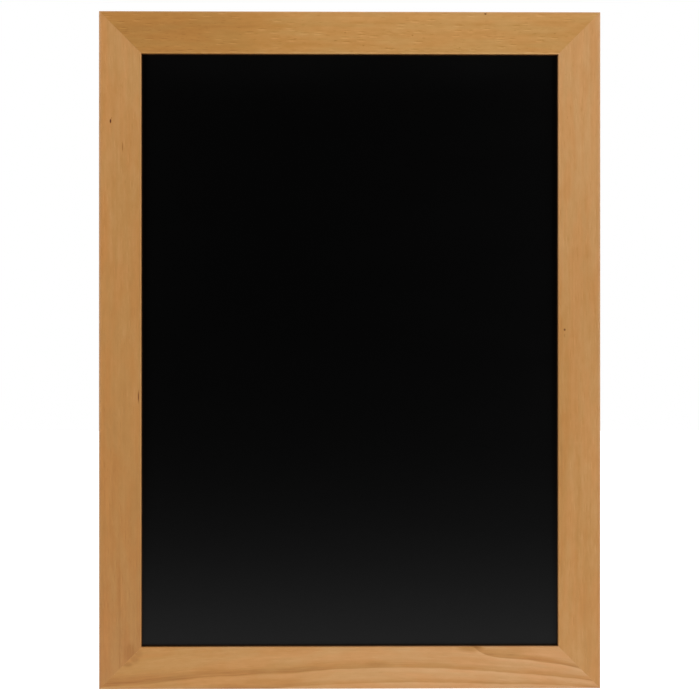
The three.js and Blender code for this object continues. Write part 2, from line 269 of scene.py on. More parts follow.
# A rail's tones, its bands' lines and its specks are (share along the rail, value), (share, height in rail widths)
# and (along, across, half length, half breadth, depth)
rails = {
    "top_rail": {
        "across": True,
        "tint": (1.0, 1.0, 0.8, 1),
        "tones": [(0, 0.385), (0.18, 0.37), (0.42, 0.61), (0.7, 0.665), (1, 0.625)],
        "flecks": 1.3,
        "figure": 0.30,
        "warmEdge": 0.3,
        "paleEdge": 0.085,
        "paleLip": 0.16,
        "seed": 11.0,
        "specks": [
            (135.4, 336.6, 1.7, 1.1, 0.75),
            (62.4, 315.0, 1.4, 0.8, 0.42),
            (-5.0, 317.6, 1.2, 0.9, 0.34),
            (165.0, 320.3, 1.6, 0.6, 0.2),
            (205.0, 317.3, 1.3, 0.8, 0.3),
            (109.7, 302.8, 1.3, 0.7, 0.3),
            (13.3, 304.8, 1.4, 0.8, 0.32),
            (36.2, 302.3, 2.0, 0.7, 0.3),
            (-55.3, 311.3, 1.4, 0.7, 0.28),
            (-14.6, 309.6, 2.4, 0.7, 0.3),
            (173.2, 296.9, 0.8, 0.4, 0.35),
        ],
        "bands": [],
    },
    "bottom_rail": {
        "across": True,
        "tint": (1.0, 0.99, 0.87, 1),
        "farTint": (1.0, 0.985, 1.0, 1),
        "tones": [(0, 0.46), (0.15, 0.565), (0.45, 0.685), (0.62, 0.755), (0.72, 0.775), (1, 0.71)],
        "flecks": 0.35,
        "figure": 0.20,
        "warmEdge": 0.2,
        "paleEdge": 0.0,
        "paleLip": 0.04,
        "seed": 23.0,
        "specks": [
            (160.5, -304.9, 7.0, 0.8, 0.3),
            (121.0, -298.5, 17.0, 4.6, 0.34),
            (160.0, -301.0, 32.0, 6.0, 0.19),
            (28.0, -314.2, 17.0, 4.2, 0.2),
            # this long one along the bottom edge is painted shade on the eased edge that faces down
            (-107.0, -336.6, 50.0, 4.6, 0.18),
            (-75.0, -332.0, 52.0, 5.0, 0.2),
            (-211.5, -303.0, 5.5, 5.5, 0.2),
            (-215.0, -308.5, 6.0, 5.0, 0.24),
            (-222.0, -314.0, 6.5, 3.6, 0.26),
        ],
        "bands": [
            {
                "line": [
                    (0, 0.085), (0.09, 0.155), (0.157, 0.242), (0.217, 0.305), (0.273, 0.334), (0.329, 0.37),
                    (0.396, 0.404), (0.44, 0.45), (0.496, 0.478), (0.608, 0.504), (0.663, 0.488),
                    (0.719, 0.463), (0.803, 0.395), (0.886, 0.326), (0.942, 0.252), (1, 0.16),
                ],
                "fade": (16.0, 4.5),
                "depth": (0.36, 0.34),
            },
            {
                "line": [
                    (0, 2.2), (0.735, 1.04), (0.761, 0.865), (0.789, 0.755), (0.831, 0.705), (0.859, 0.676),
                    (0.886, 0.634), (0.914, 0.584), (0.942, 0.514), (1, 0.36),
                ],
                "fade": (24.0, 5.0),
                "depth": (0.2, 0.42),
            },
            {
                "line": [
                    (0, -0.3), (0.16, -0.06), (0.21, -0.005), (0.33, 0.01), (0.38, 0.064), (0.502, 0.134),
                    (0.633, 0.162), (0.701, 0.155), (0.799, 0.115), (0.865, 0.115), (0.933, 0.073), (1, 0.0),
                ],
                "fade": (4.0, 5.0),
                "depth": (0.14, 0.28),
            },
        ],
    },
    "left_stile": {
        "across": False,
        "tint": (1.0, 1.0, 1.0, 1),
        "farTint": (1.0, 0.99, 0.91, 1),
        "tones": [(0, 0.31), (0.1, 0.325), (0.2, 0.37), (0.45, 0.47), (0.7, 0.54), (1, 0.645)],
        "flecks": 0.5,
        "figure": 0.26,
        "warmEdge": 1.0,
        "paleEdge": 0.0,
        "paleLip": 0.0,
        "seed": 37.0,
        "specks": [
            (228.8, -239.2, 2.8, 1.0, 0.95),
            (231.9, -238.2, 0.9, 0.6, 0.5),
            (203.0, -227.2, 6.0, 0.9, 0.42),
            (-46.4, -211.4, 8.5, 0.95, 0.62),
            (264.2, -228.6, 2.0, 0.6, 0.18),
            (168.0, -224.6, 2.4, 0.5, 0.2),
            (12.7, -220.6, 2.2, 0.5, 0.2),
            (15.7, -231.6, 1.8, 0.5, 0.16),
            (-59.4, -245.6, 2.0, 0.6, 0.2),
            (-72.4, -232.6, 2.4, 0.5, 0.16),
            (-262.0, -230.1, 84.0, 1.6, 0.11),
            (-302.0, -219.0, 14.0, 9.0, 0.16),
        ],
        "bands": [],
    },
    "right_stile": {
        "across": False,
        "tint": (1.0, 0.985, 0.92, 1),
        "tones": [(0, 0.555), (0.2, 0.54), (0.34, 0.60), (0.55, 0.615), (0.9, 0.775), (1, 0.78)],
        "flecks": 0.5,
        "figure": 0.26,
        "warmEdge": 0.25,
        "paleEdge": 0.0,
        "paleLip": 0.04,
        "seed": 53.0,
        "specks": [
            (20.6, 214.9, 1.7, 1.4, 0.7),
            (14.7, 214.8, 2.6, 0.9, 0.36),
            (243.2, 221.0, 4.2, 0.5, 0.18),
            (233.2, 217.7, 2.2, 0.5, 0.2),
            (241.2, 231.9, 3.2, 1.5, 0.12),
            (276.2, 215.7, 1.4, 0.5, 0.2),
            (-281.4, 219.3, 4.8, 0.5, 0.2),
            (-60.0, 210.0, 150.0, 12.0, 0.12),
        ],
        "bands": [],
    },
}


# The rail's own coordinates in millimetres: along the grain, up from the frame's back, across the grain
def grainPlace(tree, place, across):
    middle = addNode(tree, "ShaderNodeMapping", {
        "Vector": place,
        "Location": (-boardCentre.x / mm, 0, -boardCentre.z / mm),
        "Scale": (1 / mm, -1 / mm, 1 / mm),
    }).outputs[0]
    axes = addNode(tree, "ShaderNodeSeparateXYZ", {0: middle}).outputs
    along, up, over = (axes[0], axes[1], axes[2]) if across else (axes[2], axes[1], axes[0])
    grain = addNode(tree, "ShaderNodeCombineXYZ", {0: along, 1: up, 2: over}).outputs[0]
    return grain, along, up, over


# One small mark in the front face, or a patch of painted shade, soft from its core to its rim
speckLook = {"deepness": 3.0, "rim": 1.1, "core": 0.3}


def speck(tree, grain, mark):
    along, over, halfLength, halfBreadth, depth = mark
    centred = addNode(tree, "ShaderNodeMapping", {
        "Vector": grain,
        "Location": (along, -frontFace / mm, over),
        "Scale": (halfLength, speckLook["deepness"], halfBreadth),
    }, vector_type="TEXTURE").outputs[0]
    reach = addNode(tree, "ShaderNodeVectorMath", {0: centred}, operation="LENGTH").outputs[1]
    return times(tree, ease(tree, reach, speckLook["rim"], speckLook["core"]), depth)


# Bands of late wood that flow along the bottom rail. Distances are in millimetres above a band's line.
bandLook = {
    "ragSize": (26, 10, 12),
    "rag": 2.0,
    "patchSize": (45, 12, 9),
    "patchy": (0.3, 0.65, 0.6, 1.0),
    "lineSize": (60, 5, 1.3),
    "lined": (0.35, 0.6, 0.7, 1.25),
    "softEnd": (0.3, 0.5, -2.4, -0.6),  # the bands' lower edges are soft to the left
    "edgeEnd": 0.6,
    "crispRise": (-0.4, 0.5),
    "crispFall": (2.0, 0.7),
    "crisp": 0.14,
    "earlyRise": (-6, -0.6),
    "earlyFall": (0.2, -0.6),
    "early": 0.3,
}


def bandTones(tree, share, above, band, patchy, lined):
    fade, depth = [maths(tree, "MULTIPLY_ADD", share, ends[1] - ends[0], ends[0])
                   for ends in (band["fade"], band["depth"])]
    fading = maths(tree, "SUBTRACT", 1.0, maths(tree, "DIVIDE", above, fade))
    crisp = times(tree, ease(tree, above, *bandLook["crispRise"]), ease(tree, above, *bandLook["crispFall"]))
    crisp = times(tree, crisp, times(tree, share, bandLook["crisp"]))
    softEdge = ease(tree, share, *bandLook["softEnd"])
    lateWood = times(tree, ease(tree, above, softEdge, bandLook["edgeEnd"]), ease(tree, fading, 0, 1))
    lateWood = maths(tree, "MULTIPLY_ADD", times(tree, lateWood, patchy), lined, crisp)
    earlyWood = times(tree, ease(tree, above, *bandLook["earlyRise"]), ease(tree, above, *bandLook["earlyFall"]))
    return [
        times(tree, lateWood, times(tree, depth, -1.0)),
        times(tree, times(tree, earlyWood, bandLook["early"]), depth),
    ]


def woodMaterial(name, rail):
    material, tree, shader, place = newMaterial("varnished beech " + name.replace("_", " "), {
        "Coat Weight": beech["coat"],
        "Coat Roughness": beech["coatRoughness"],
        "Specular IOR Level": beech["specular"],
    })
    grain, along, up, over = grainPlace(tree, place, rail["across"])
    halfSpan = (halfWidth if rail["across"] else halfHeight) / mm
    halfOver = (halfHeight if rail["across"] else halfWidth) / mm
    share = maths(tree, "MULTIPLY_ADD", along, 0.5 / halfSpan, 0.5)  # 0 to 1 along the rail
    inward = maths(tree, "SUBTRACT", halfOver, maths(tree, "ABSOLUTE", over))  # from the outer edge
    seed = (rail["seed"], rail["seed"] * 1.7, rail["seed"] * 0.6)

    # The grain's flow: it follows the rail's main band, or wanders a little
    if rail["bands"]:
        upRail = maths(tree, "ADD", over, halfOver)  # from the bottom edge
        lines = [times(tree, curve(tree, share, band["line"]), railWidth / mm) for band in rail["bands"]]
        flowOver = maths(tree, "SUBTRACT", over, lines[0])
    else:
        (slowSize, slowReach), (quickSize, quickReach) = wander["slow"], wander["quick"]
        waver = total(tree, [
            sway(tree, noise(tree, stretched(tree, grain, slowSize, seed), detail=1.0), slowReach),
            sway(tree, noise(tree, stretched(tree, grain, quickSize, seed), detail=1.0), quickReach * rail["figure"]),
        ])
        flowOver = maths(tree, "ADD", over, waver)
    flow = addNode(tree, "ShaderNodeCombineXYZ", {0: along, 1: up, 2: flowOver}).outputs[0]

    broad, rings, fibre, figure = [
        noise(tree, stretched(tree, flow, size, seed), detail=detail, roughness=roughness)
        for size, detail, roughness in woodNoises.values()
    ]
    cloud = noise(tree, stretched(tree, grain, beech["cloudSize"], seed), detail=2.5)
    hue = noise(tree, stretched(tree, flow, beech["hueSize"], (seed[1], seed[0], seed[2])))
    ragged = jostled(tree, flow, *wander["rays"], seed)
    beside = (seed[0] + 0.06, seed[1], seed[2] + 0.42)  # a pale ray lies close beside a dark one
    rays = dashes(tree, ragged, *woodDashes["rays"], seed)
    paleRays = dashes(tree, ragged, *woodDashes["paleRays"], beside)
    shortRays = dashes(tree, flow, *woodDashes["shortRays"], (seed[1], seed[2], seed[0]))
    pores = dashes(tree, flow, *woodDashes["pores"], (seed[2], seed[0], seed[1]))

    parts = [
        curve(tree, share, rail["tones"]),
        sway(tree, broad, toneMoves["broad"]),
        sway(tree, rings, toneMoves["rings"]),
        sway(tree, fibre, toneMoves["fibre"]),
        sway(tree, cloud, toneMoves["cloud"]),
        sway(tree, figure, rail["figure"]),
        times(tree, rays, toneMoves["rays"] * rail["flecks"]),
        times(tree, paleRays, toneMoves["paleRays"] * rail["flecks"]),
        times(tree, shortRays, toneMoves["shortRays"] * rail["flecks"]),
        times(tree, ease(tree, inward, *zones["paleEdge"]), rail["paleEdge"]),
        # a painted highlight on the inner lip's rounded edge
        times(tree, ease(tree, inward, *zones["lip"]), rail["paleLip"]),
        times(tree, pores, toneMoves["pores"]),
    ]
    if rail["bands"]:
        rags, patches, fineLines = [noise(tree, stretched(tree, vector, bandLook[size], seed))
                                    for vector, size in ((grain, "ragSize"), (grain, "patchSize"), (flow, "lineSize"))]
        ragLines = sway(tree, rags, bandLook["rag"])
        patchy, lined = ease(tree, patches, *bandLook["patchy"]), ease(tree, fineLines, *bandLook["lined"])
        for line, band in zip(lines, rail["bands"]):
            above = maths(tree, "ADD", maths(tree, "SUBTRACT", upRail, line), ragLines)
            parts += bandTones(tree, share, above, band, patchy, lined)
    wobble = jostled(tree, grain, *wander["marks"], seed)
    halfReach = tuple(reach / 2 for reach in wander["marks"][1])
    steady = addNode(tree, "ShaderNodeVectorMath", {0: wobble, 1: halfReach}, operation="SUBTRACT").outputs[0]
    marks = largest(tree, [speck(tree, steady, mark) for mark in rail["specks"]])
    tone = total(tree, parts + [times(tree, marks, -1.0)])

    ramp = addNode(tree, "ShaderNodeValToRGB", {0: tone})
    ramp.color_ramp.elements[0].color = beech["dark"]
    ramp.color_ramp.elements[1].color = beech["pale"]
    ramp.color_ramp.elements.new(0.5).color = beech["middle"]
    tint = mixColour(tree, share, rail["tint"], rail.get("farTint", rail["tint"]))  # towards the rail's far end
    varnished = mixColour(tree, 1.0, ramp.outputs[0], tint, "MULTIPLY")

    varnished = mixColour(tree, ease(tree, marks, *beech["fullMark"]), varnished, beech["mark"])

    # The colour drifts between a redder and a greyer tan, and is warmer beside the outer edge
    drift = mixColour(tree, ease(tree, hue, *beech["hueSpread"]), beech["warmTint"], beech["coolTint"])
    varnished = mixColour(tree, 1.0, varnished, drift, "MULTIPLY")
    warmStrip = times(tree, ease(tree, inward, *zones["warmInner"]), ease(tree, inward, *zones["warmOuter"]))
    warmth = ease(tree, cloud, *beech["warmPatches"], 0.4 * rail["warmEdge"], rail["warmEdge"])
    warmStrip = times(tree, warmStrip, warmth)
    varnished = mixColour(tree, warmStrip, varnished, beech["stripTint"], "MULTIPLY")

    # Varnish lies thicker along the eased outer edge, and painted shade darkens the crease against the sheet
    varnished = mixColour(tree, ease(tree, inward, *zones["thickVarnish"]), varnished, beech["edgeTint"], "MULTIPLY")
    crease = times(tree, ease(tree, inward, *zones["crease"]), ease(tree, up, *levels["crease"]))
    creaseShade = times(tree, crease, beech["creaseDirt"])
    varnished = mixColour(tree, creaseShade, varnished, beech["creaseTint"], "MULTIPLY")

    # Bare wood on the back, with a thin and ragged film where the varnish ends
    filmSize, filmReach = wander["filmEnd"]
    dryLine = maths(tree, "ADD", inward, sway(tree, noise(tree, stretched(tree, grain, filmSize, seed)), filmReach))
    back = times(tree, ease(tree, up, *levels["back"]), ease(tree, dryLine, *beech["filmEnd"]))
    rebate = times(tree, ease(tree, inward, *zones["rebate"]), ease(tree, up, *levels["rebate"]))
    bare = largest(tree, [back, rebate])
    rawShare = total(tree, [
        0.5,
        sway(tree, broad, rawMoves["broad"]),
        sway(tree, rings, rawMoves["rings"]),
        sway(tree, fibre, rawMoves["fibre"]),
        sway(tree, figure, rawMoves["figure"]),
        times(tree, pores, rawMoves["pores"]),
        times(tree, rays, rawMoves["rays"]),
    ])
    raw = mixColour(tree, rawShare, beech["rawDark"], beech["raw"])
    colour = mixColour(tree, bare, varnished, raw)

    cloudGloss, fibreGloss = beech["glossSways"]
    gloss = total(tree, [beech["varnishRoughness"], sway(tree, cloud, cloudGloss), sway(tree, fibre, fibreGloss)])
    gloss = maths(tree, "ADD", gloss, times(tree, bare, beech["rawRoughness"] - beech["varnishRoughness"]))
    surface = noise(tree, stretched(tree, grain, (3, 3, 3), seed))
    relief = total(tree, [times(tree, height, reliefMoves[key]) for height, key in (
        (fibre, "fibre"), (pores, "pores"), (rings, "rings"), (surface, "surface"))])
    relief = times(tree, relief, maths(tree, "MULTIPLY_ADD", bare, beech["rawRelief"], 1.0))
    wire(tree, shader, {"Base Color": colour, "Roughness": gloss, "Normal": bump(tree, relief, beech["reliefDepth"])})
    return material


# Black writing sheet with a little chalk haze, and a painted sheen that lightens it at the top and to the right
laminate = {
    "colour": grey(0.0001),
    "wiped": grey(0.0003),
    "dust": grey(0.004),
    "grit": [  # cell size in millimetres, the share of cells that hold a grain, its radius in cells, an offset
        ((19, 8, 19), 0.4, 0.03, (0, 0, 0)),
        ((9, 8, 9), 0.25, 0.035, (5, 3, 7)),
    ],
    "topHaze": 0.0011,
    "rightHaze": 0.0003,
    "topReach": 48,  # millimetres down from the top lip
    "rightReach": (-120, 190),  # millimetres to the right of the middle: where it starts, and where it is full
    "stain": (0.011, 0.005, 0.0012, 1),  # a painted reflection of the wooden lip, brown along the sheet's edge
    "stainWidth": 2.4,  # millimetres
    "paleStain": 0.6,  # at the sides and the top, as a share of the bottom's
    "roughness": 0.3,
    "dustRoughness": 0.3,  # more than the sheet's
    "specular": 0.18,
    "reliefDepth": 0.003 * mm,
}


def laminateMaterial():
    material, tree, shader, place = newMaterial("matt black laminate", {"Specular IOR Level": laminate["specular"]})
    spot = stretched(tree, place, (mm, mm, mm))
    wipes = noise(tree, stretched(tree, spot, (160, 160, 40)), detail=3.0)
    mottle = noise(tree, spot, scale=0.4, detail=3.0)
    haze = times(tree, ease(tree, wipes, 0.4, 0.7), mottle)
    dust = largest(tree, [dashes(tree, spot, *grit) for grit in laminate["grit"]])
    colour = mixColour(tree, haze, laminate["colour"], laminate["wiped"])

    # Distances from the lips of the frame, in millimetres
    axes = addNode(tree, "ShaderNodeSeparateXYZ", {0: spot}).outputs
    across = maths(tree, "SUBTRACT", axes[0], boardCentre.x / mm)
    up = maths(tree, "SUBTRACT", axes[2], boardCentre.z / mm)
    halfOpen, halfTall = (halfWidth - railWidth) / mm, (halfHeight - railWidth) / mm
    fromSide = maths(tree, "SUBTRACT", halfOpen, maths(tree, "ABSOLUTE", across))
    fromTop = maths(tree, "SUBTRACT", halfTall, up)
    fromBottom = maths(tree, "ADD", halfTall, up)
    # Painted sheen: lighter towards the top lip and to the right, patchy with the wipes
    paintedSheen = total(tree, [
        times(tree, ease(tree, fromTop, laminate["topReach"], 0), laminate["topHaze"]),
        times(tree, ease(tree, across, *laminate["rightReach"]), laminate["rightHaze"]),
    ])
    paintedSheen = times(tree, paintedSheen, ease(tree, wipes, 0.2, 0.8, 0.7, 1.3))
    colour = mixColour(tree, 1.0, colour, paintedSheen, "ADD")
    # Painted reflection of the wooden lip: brown along the sheet's edge, strongest at the bottom
    width, pale = laminate["stainWidth"], laminate["paleStain"]
    stain = largest(tree, [
        ease(tree, fromBottom, width, 0),
        ease(tree, fromSide, width, 0, 0, pale),
        ease(tree, fromTop, width, 0, 0, pale),
    ])
    colour = mixColour(tree, stain, colour, laminate["stain"])
    colour = mixColour(tree, dust, colour, laminate["dust"])
    dullDust = times(tree, dust, laminate["dustRoughness"])
    gloss = total(tree, [laminate["roughness"], sway(tree, mottle, 0.05), dullDust])
    relief = maths(tree, "ADD", noise(tree, spot, scale=2.6), times(tree, dust, 1.5))
    normal = bump(tree, relief, laminate["reliefDepth"])
    wire(tree, shader, {"Base Color": colour, "Roughness": gloss, "Normal": normal})
    return material


# Brown hardboard, with the mesh that its press leaves on the back
hardboard = {
    "dark": paint(92, 62, 38),
    "light": paint(140, 102, 68),
    "fibre": paint(176, 140, 100),
    "meshPitch": 2.4,  # millimetres
    "strandTurns": (8, 47, 83, 121, 160),  # degrees
    "strands": ((5.5, 3, 0.8), 0.3, 0.26),  # cell size in millimetres, share of cells, radius in cells
    "roughness": 0.82,
    "specular": 0.3,
    "reliefDepth": 0.12 * mm,
}


def hardboardMaterial():
    material, tree, shader, place = newMaterial("brown hardboard", {"Specular IOR Level": hardboard["specular"]})
    spot = stretched(tree, place, (mm, mm, mm))
    warped = jostled(tree, spot, (30, 30, 30), (3, 3, 3), detail=1.0)
    axes = addNode(tree, "ShaderNodeSeparateXYZ", {0: warped}).outputs
    turn = 2 * math.pi / hardboard["meshPitch"]
    rows, columns = [maths(tree, "SINE", times(tree, axes[i], turn)) for i in (0, 2)]
    weave = maths(tree, "MULTIPLY_ADD", times(tree, rows, columns), 0.5, 0.5)
    clumps = noise(tree, spot, scale=0.14, detail=4.0, roughness=0.65)
    specks = noise(tree, spot, scale=1.3, detail=3.0, roughness=0.7)
    strands = []
    for i, degrees in enumerate(hardboard["strandTurns"]):
        values = {"Vector": warped, "Rotation": (0, math.radians(degrees), 0)}
        turned = addNode(tree, "ShaderNodeMapping", values).outputs[0]
        strands.append(dashes(tree, turned, *hardboard["strands"], (9 * i, i, 4 * i)))
    strands = largest(tree, strands)
    shade = total(tree, [sway(tree, clumps, 0.9), sway(tree, specks, 0.9), 0.5, sway(tree, weave, 0.3)])
    colour = mixColour(tree, shade, hardboard["dark"], hardboard["light"])
    colour = mixColour(tree, times(tree, strands, 0.3), colour, hardboard["fibre"])
    relief = total(tree, [times(tree, weave, 1.4), times(tree, specks, 0.5), times(tree, strands, 0.3)])
    gloss = maths(tree, "ADD", hardboard["roughness"], sway(tree, specks, 0.16))
    normal = bump(tree, relief, hardboard["reliefDepth"])
    wire(tree, shader, {"Base Color": colour, "Roughness": gloss, "Normal": normal})
    return material


# Metals: a plated one for the hangers and a bare one for wedges and points
zinc = {
    "name": "bright zinc plating",
    "light": (0.40, 0.41, 0.43, 1),
    "dull": (0.24, 0.24, 0.235, 1),
    "roughness": 0.27,
    "streak": (0.5, 6, 0.5),  # millimetres
}
springSteel = {
    "name": "bare spring steel",
    "light": (0.34, 0.35, 0.37, 1),
    "dull": (0.19, 0.18, 0.17, 1),
    "roughness": 0.36,
    "streak": (4, 0.4, 0.4),
}
tarnished = {"levels": (0.45, 0.75), "shade": 0.6, "roughness": 0.14}
metalRelief = 0.02 * mm


def metalMaterial(look):
    material, tree, shader, place = newMaterial(look["name"], {"Metallic": 1.0})
    spot = stretched(tree, place, (mm, mm, mm))
    streaks = noise(tree, stretched(tree, spot, look["streak"]), scale=2.0, detail=3.0)
    patches = noise(tree, spot, scale=0.35, detail=4.0, roughness=0.65)
    grains = noise(tree, spot, scale=5.0)
    tarnish = ease(tree, patches, *tarnished["levels"])
    shade = total(tree, [times(tree, tarnish, tarnished["shade"]), sway(tree, streaks, 0.3), 0.1])
    colour = mixColour(tree, shade, look["light"], look["dull"])
    dullPatches = times(tree, tarnish, tarnished["roughness"])
    gloss = total(tree, [look["roughness"], dullPatches, sway(tree, streaks, 0.1)])
    relief = total(tree, [times(tree, streaks, 0.6), times(tree, grains, 0.4)])
    wire(tree, shader, {"Base Color": colour, "Roughness": gloss, "Normal": bump(tree, relief, metalRelief)})
    return material


rubber = {
    "colour": paint(36, 36, 37),
    "dusty": paint(70, 69, 66),
    "bloom": (0.45, 0.8),
    "roughness": 0.58,
    "specular": 0.5,
    "reliefDepth": 0.03 * mm,
}


def rubberMaterial():
    material, tree, shader, place = newMaterial("black moulded rubber", {"Specular IOR Level": rubber["specular"]})
    spot = stretched(tree, place, (mm, mm, mm))
    bloom = noise(tree, spot, scale=0.3, detail=4.0)
    grains = noise(tree, spot, scale=4.0, detail=3.0)
    colour = mixColour(tree, ease(tree, bloom, *rubber["bloom"]), rubber["colour"], rubber["dusty"])
    gloss = maths(tree, "ADD", rubber["roughness"], sway(tree, bloom, 0.2))
    normal = bump(tree, grains, rubber["reliefDepth"])
    wire(tree, shader, {"Base Color": colour, "Roughness": gloss, "Normal": normal})
    return material


woods = {name: woodMaterial(name, rail) for name, rail in rails.items()}
blackLaminate = laminateMaterial()
brownHardboard = hardboardMaterial()
zincPlating = metalMaterial(zinc)
bareSteel = metalMaterial(springSteel)
blackRubber = rubberMaterial()
print("materials made:", len(bpy.data.materials))


# Pieces. Edges that turn by more than the sharp angle, in degrees, stay crisp.

def addPiece(name, work, material, body, node, sharpAngle=35):
    bmesh.ops.recalc_face_normals(work, faces=work.faces)
    for face in work.faces:
        face.smooth = True
    for edge in work.edges:
        edge.smooth = edge.is_manifold and edge.calc_face_angle() < math.radians(sharpAngle)
    mesh = bpy.data.meshes.new(name)
    work.to_mesh(mesh)
    work.free()
    mesh.materials.append(material)
    piece = bpy.data.objects.new(name, mesh)
    bpy.context.scene.collection.objects.link(piece)
    weighted = piece.modifiers.new("Flat faces stay flat", "WEIGHTED_NORMAL")
    weighted.keep_sharp = True
    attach(piece, body)
    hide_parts(node)


# Points nearer than these are joined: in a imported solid, in a made shape and in a turned one
joined = {"packed": 0.002 * mm, "made": 0.001 * mm, "turned": 0.0005 * mm}
flatAngle, easedAngle = math.radians(1), math.radians(50)


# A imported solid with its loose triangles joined, and its sharp edges eased
def easedCopy(node, easing=0.0):
    work = bmesh.new()
    work.from_mesh(nodes[node].data)
    for layer in list(work.loops.layers.uv.values()):
        work.loops.layers.uv.remove(layer)
    bmesh.ops.remove_doubles(work, verts=work.verts, dist=joined["packed"])
    bmesh.ops.dissolve_limit(work, angle_limit=flatAngle, verts=work.verts, edges=work.edges)
    if easing:
        corners = [edge for edge in work.edges if edge.is_manifold and edge.calc_face_angle() > easedAngle]
        bmesh.ops.bevel(work, geom=corners, offset=easing, offset_type="OFFSET", segments=2, profile=0.5,
                        affect="EDGES", material=-1, clamp_overlap=True)
    return work


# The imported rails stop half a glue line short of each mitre. Here the joints close to a hairline.
mitre = {"packedGap": 0.1 * mm, "hairline": 0.02 * mm, "slack": 0.002 * mm}


def railCopy(name):
    work = easedCopy(name)
    over, along = (2, 0) if rails[name]["across"] else (0, 2)
    reach = (halfHeight, halfWidth) if over == 2 else (halfWidth, halfHeight)
    for vert in work.verts:
        inward = reach[0] - abs(vert.co[over] - boardCentre[over])
        ahead = vert.co[along] - boardCentre[along]
        diagonal = reach[1] - inward
        if abs(diagonal - abs(ahead) - mitre["packedGap"] / math.sqrt(2)) < mitre["slack"]:
            vert.co[along] = boardCentre[along] + math.copysign(diagonal - mitre["hairline"] / math.sqrt(2), ahead)
    bmesh.ops.dissolve_degenerate(work, edges=work.edges, dist=joined["made"])
    bmesh.ops.triangulate(work, faces=work.faces, ngon_method="EAR_CLIP")
    return work


for name, wood in woods.items():
    addPiece(name + "_varnished", railCopy(name), wood, "frame", name)
for name, material in {"writing_sheet": blackLaminate, "backing_panel": brownHardboard}.items():
    for slot in nodes[name].material_slots:
        slot.material = material

# Wedges, points and straps: ending of the name, easing of the edges, finish and slot
pressed = {
    "v_nail": ("_pressed", 0.08 * mm, bareSteel, "spring_steel"),
    "panel_point": ("_stamped", 0.12 * mm, bareSteel, "spring_steel"),
    "hanger_strap": ("_folded", 0.14 * mm, zincPlating, "zinc_steel"),
}
for name in nodes:
    for kind, (ending, easing, finish, slot) in pressed.items():
        if name.startswith(kind):
            addPiece(name + ending, easedCopy(name, easing), finish, "frame", name)
print("rails, wedges, points and straps dressed")


# A section is carried on by these: straight by a step, or round a centre
def carryStraight(work, edges, step):
    made = bmesh.ops.extrude_edge_only(work, edges=edges)["geom"]
    bmesh.ops.translate(work, verts=[v for v in made if isinstance(v, bmesh.types.BMVert)], vec=step)
    return [e for e in made if isinstance(e, bmesh.types.BMEdge)]


def carryRound(work, edges, centre, axis, angle, steps):
    made = bmesh.ops.spin(work, geom=edges, cent=centre, axis=axis, angle=angle, steps=steps)["geom_last"]
    return [e for e in made if isinstance(e, bmesh.types.BMEdge)]


# Wire rings bent to a D, whose ends meet inside the strap's eye
ringWire = {
    "diameter": 2.34 * mm,
    "halfWidth": 8.7 * mm,  # to the wire's middle
    "cornerRadius": 2.4 * mm,
    "footDrop": 6.7 * mm,  # from the eye's axis to the round end's centre
    "endGap": 0.6 * mm,
    "endEasing": 0.25 * mm,
    "restTilt": math.radians(4.37),  # where the ring lies on its strap
    "sides": 24,
    "cornerSteps": 10,
    "roundSteps": 36,
}


def wireRing(name, node, body):
    work = bmesh.new()
    wireRound = ringWire["diameter"] / 2
    corner = ringWire["halfWidth"] - ringWire["cornerRadius"]
    sideDrop = ringWire["footDrop"] - ringWire["cornerRadius"]
    start = Matrix.Translation((ringWire["endGap"] / 2, 0, 0)) @ Matrix.Rotation(math.pi / 2, 4, "Y")
    bmesh.ops.create_circle(work, cap_ends=False, segments=ringWire["sides"], radius=wireRound, matrix=start)
    axis, quarter = (0, 1, 0), math.pi / 2
    top = (corner - ringWire["endGap"] / 2, 0, 0)
    edges = carryStraight(work, list(work.edges), top)
    edges = carryRound(work, edges, (corner, 0, -ringWire["cornerRadius"]), axis, quarter, ringWire["cornerSteps"])
    edges = carryStraight(work, edges, (0, 0, -sideDrop))
    edges = carryRound(work, edges, (0, 0, -ringWire["footDrop"]), axis, 2 * quarter, ringWire["roundSteps"])
    edges = carryStraight(work, edges, (0, 0, sideDrop))
    edges = carryRound(work, edges, (-corner, 0, -ringWire["cornerRadius"]), axis, quarter, ringWire["cornerSteps"])
    carryStraight(work, edges, top)
    bmesh.ops.remove_doubles(work, verts=work.verts, dist=joined["made"])
    ends = [edge for edge in work.edges if edge.is_boundary]
    caps = bmesh.ops.holes_fill(work, edges=ends, sides=0)["faces"]
    rims = list({edge for cap in caps for edge in cap.edges})
    bmesh.ops.bevel(work, geom=rims, offset=ringWire["endEasing"], offset_type="OFFSET", segments=2, profile=0.5,
                    affect="EDGES", material=-1)
    place = Matrix.Translation(pivots[body]) @ Matrix.Rotation(ringWire["restTilt"], 4, "X")
    bmesh.ops.transform(work, matrix=place, verts=work.verts)
    addPiece(name, work, zincPlating, body, node, 60)


# Pan-head screws with a cross recess and a rolled thread
screw = {
    "headRadius": 3.5 * mm,
    "headHeight": 2.3 * mm,
    "headRounding": 1.7 * mm,
    "rootRadius": 1.15 * mm,
    "threadRadius": 1.5 * mm,
    "length": 12 * mm,
    "tipLength": 4 * mm,
    "pitch": 1.3 * mm,
    "collar": (0.9 * mm, 0.5 * mm),  # below the head, where the root swells to the thread's size
    "rimEasing": 0.15 * mm,
    "threadTurns": 5,
    "threadSteps": 18,  # in a turn
    "threadStart": 0.4 * mm,  # above the tip's cone
    "threadHalf": 0.42,  # in pitches
    "threadSink": 0.1 * mm,  # into the root
    "recessSpan": 4.2 * mm,
    "recessWidth": 0.95 * mm,
    "recessDepth": 1.4 * mm,
    "recessTaper": 0.5,
    "sides": 48,
    "roundingSteps": 8,
}


